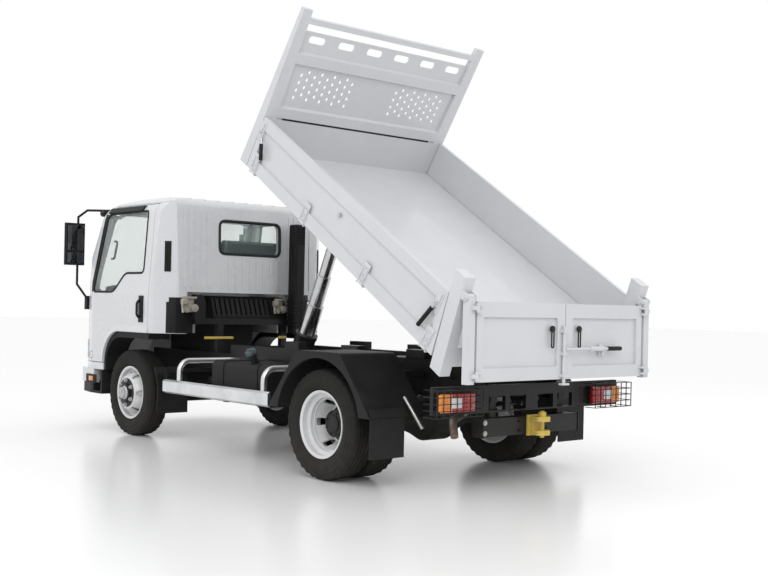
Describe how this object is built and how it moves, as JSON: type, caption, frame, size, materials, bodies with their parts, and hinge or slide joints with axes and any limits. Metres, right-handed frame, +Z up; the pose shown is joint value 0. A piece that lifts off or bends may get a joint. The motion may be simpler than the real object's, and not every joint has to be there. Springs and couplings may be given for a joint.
{
  "type": "light tipper truck",
  "caption": "White cab-over light tipper truck with its dropside bed raised, slotted headboard and hanging double-leaf tailgate.",
  "frame": {"origin": "on the floor, under the centre of the truck's bounding box", "axes": "+Y points to the tail along the truck's length, +X to its left side, +Z up"},
  "size_m": [2.2, 5.375, 3.3673],
  "materials": {
    "tyre": "matt black rubber",
    "wheel_paint": "silver-white wheel enamel",
    "cast_metal": "dark painted castings",
    "frame_paint": "satin black chassis paint",
    "white_paint": "gloss white paint",
    "steel": "plain and zinc-plated steel",
    "chrome": "hard chrome rods",
    "glass": "green-tinted safety glass",
    "black_plastic": "grained black plastic",
    "aluminium": "extruded aluminium",
    "lamp": "moulded lamp lenses",
    "yellow_paint": "yellow passivated casting",
    "fabric": "dark woven seat cloth"
  },
  "bodies": {
    "chassis": {"air_intake": "black_plastic", "bumper": "white_paint", "cab_back": "white_paint", "cab_floor": "white_paint", "cab_front": "white_paint", "cab_glass": "glass", "cab_mount": "frame_paint", "cab_roof": "white_paint", "dashboard": "black_plastic", "engine": "cast_metal", "exhaust": "steel", "frame": "frame_paint", "front_axle": "cast_metal", "grille": "black_plastic", "headlamps": "lamp", "leaf_springs": "frame_paint", "mirrors": "black_plastic", "mudguards": "black_plastic", "propeller_shaft": "frame_paint", "rear_axle": "cast_metal", "rear_cover": "black_plastic", "seats": "fabric", "side_guards": "aluminium", "side_tanks": "black_plastic", "subframe": "frame_paint", "tail_bar": "frame_paint", "tail_lamps": "lamp", "tow_beam": "frame_paint", "tow_coupling": "yellow_paint", "valance": "black_plastic"},
    "bed": {"bed_floor": "white_paint", "bed_pillars": "white_paint", "headboard_frame": "white_paint", "headboard_panel": "white_paint"},
    "board_left": {"sideboard_left": "white_paint"},
    "board_right": {"sideboard_right": "white_paint"},
    "tailgate": {"tailgate_posts": "white_paint"},
    "leaf_left": {"tailgate_leaf_left": "white_paint", "tailgate_lock": "steel"},
    "leaf_right": {"tailgate_leaf_right": "white_paint"},
    "left_door": {"door_left": "white_paint", "door_glass_left": "glass"},
    "right_door": {"door_right": "white_paint", "door_glass_right": "glass"},
    "left_knuckle": {"knuckle_left": "cast_metal"},
    "right_knuckle": {"knuckle_right": "cast_metal"},
    "front_wheel_left": {"wheel_front_left": "wheel_paint", "tyre_front_left": "tyre"},
    "front_wheel_right": {"wheel_front_right": "wheel_paint", "tyre_front_right": "tyre"},
    "rear_wheels_left": {"wheels_rear_left": "wheel_paint", "tyres_rear_left": "tyre"},
    "rear_wheels_right": {"wheels_rear_right": "wheel_paint", "tyres_rear_right": "tyre"},
    "barrel": {"ram_barrel": "frame_paint"},
    "stage_1": {"ram_stage_1": "chrome"},
    "stage_2": {"ram_stage_2": "chrome"},
    "stage_3": {"ram_stage_3": "chrome"},
    "stage_4": {"ram_stage_4": "chrome"},
    "stage_5": {"ram_stage_5": "chrome"}
  },
  "joints": [
    {"name": "bed_tip", "type": "hinge", "parent": "chassis", "child": "bed", "pos_m": [0, 2.30249, 0.82], "axis": [1, 0, 0], "range_deg": [0, 33]},
    {"name": "board_left_drop", "type": "hinge", "parent": "bed", "child": "board_left", "pos_m": [0.938, 1.2937, 1.58005], "axis": [0, 0.8387, -0.5446], "range_deg": [0, 90]},
    {"name": "board_right_drop", "type": "hinge", "parent": "bed", "child": "board_right", "pos_m": [-0.938, 1.2937, 1.58005], "axis": [0, -0.8387, 0.5446], "range_deg": [0, 90]},
    {"name": "tailgate_swing", "type": "hinge", "parent": "bed", "child": "tailgate", "pos_m": [0, 2.62051, 1.27226], "axis": [1, 0, 0], "range_deg": [-19, 50]},
    {"name": "leaf_left_open", "type": "hinge", "parent": "tailgate", "child": "leaf_left", "pos_m": [0.86, 2.66351, 1.27226], "axis": [0, 0, -1], "range_deg": [0, 170]},
    {"name": "leaf_right_open", "type": "hinge", "parent": "tailgate", "child": "leaf_right", "pos_m": [-0.86, 2.66351, 1.27226], "axis": [0, 0, 1], "range_deg": [0, 170]},
    {"name": "door_left_open", "type": "hinge", "parent": "chassis", "child": "left_door", "pos_m": [0.8634, -2.46051, 1.3], "axis": [0, 0, -1], "range_deg": [0, 70]},
    {"name": "door_right_open", "type": "hinge", "parent": "chassis", "child": "right_door", "pos_m": [-0.8634, -2.46051, 1.3], "axis": [0, 0, 1], "range_deg": [0, 70]},
    {"name": "steer_left", "type": "hinge", "parent": "chassis", "child": "left_knuckle", "pos_m": [0.69, -1.59751, 0.383], "axis": [0, 0, 1], "range_deg": [-36, 36]},
    {"name": "steer_right", "type": "hinge", "parent": "chassis", "child": "right_knuckle", "pos_m": [-0.69, -1.59751, 0.383], "axis": [0, 0, 1], "range_deg": [-36, 36]},
    {"name": "spin_front_left", "type": "hinge", "parent": "left_knuckle", "child": "front_wheel_left", "pos_m": [0.8, -1.59751, 0.383], "axis": [1, 0, 0], "continuous": true},
    {"name": "spin_front_right", "type": "hinge", "parent": "right_knuckle", "child": "front_wheel_right", "pos_m": [-0.8, -1.59751, 0.383], "axis": [1, 0, 0], "continuous": true},
    {"name": "spin_rear_left", "type": "hinge", "parent": "chassis", "child": "rear_wheels_left", "pos_m": [0.85, 1.38249, 0.383], "axis": [1, 0, 0], "continuous": true},
    {"name": "spin_rear_right", "type": "hinge", "parent": "chassis", "child": "rear_wheels_right", "pos_m": [-0.85, 1.38249, 0.383], "axis": [1, 0, 0], "continuous": true},
    {"name": "barrel_lean", "type": "hinge", "parent": "chassis", "child": "barrel", "pos_m": [0, -0.35751, 0.565], "axis": [1, 0, 0], "range_deg": [-11.99, 0.05]},
    {"name": "stage_1_slide", "type": "slide", "parent": "barrel", "child": "stage_1", "axis": [0, 0.4161, 0.9093], "range_m": [-0.26586, 0]},
    {"name": "stage_2_slide", "type": "slide", "parent": "stage_1", "child": "stage_2", "axis": [0, 0.4161, 0.9093], "range_m": [-0.26586, 0]},
    {"name": "stage_3_slide", "type": "slide", "parent": "stage_2", "child": "stage_3", "axis": [0, 0.4161, 0.9093], "range_m": [-0.26586, 0]},
    {"name": "stage_4_slide", "type": "slide", "parent": "stage_3", "child": "stage_4", "axis": [0, 0.4161, 0.9093], "range_m": [-0.26586, 0]},
    {"name": "stage_5_slide", "type": "slide", "parent": "stage_4", "child": "stage_5", "axis": [0, 0.4161, 0.9093], "range_m": [-0.26586, 0]}
  ],
  "couplings": [
    {"joint": "leaf_right_open", "follows": "leaf_left_open", "ratio": 1},
    {"joint": "steer_right", "follows": "steer_left", "ratio": 1},
    {"joint": "barrel_lean", "follows": "bed_tip", "ratio": -0.36182},
    {"joint": "stage_1_slide", "follows": "bed_tip", "m_per_rad": -0.46125},
    {"joint": "stage_2_slide", "follows": "bed_tip", "m_per_rad": -0.46125},
    {"joint": "stage_3_slide", "follows": "bed_tip", "m_per_rad": -0.46125},
    {"joint": "stage_4_slide", "follows": "bed_tip", "m_per_rad": -0.46125},
    {"joint": "stage_5_slide", "follows": "bed_tip", "m_per_rad": -0.46125}
  ]
}
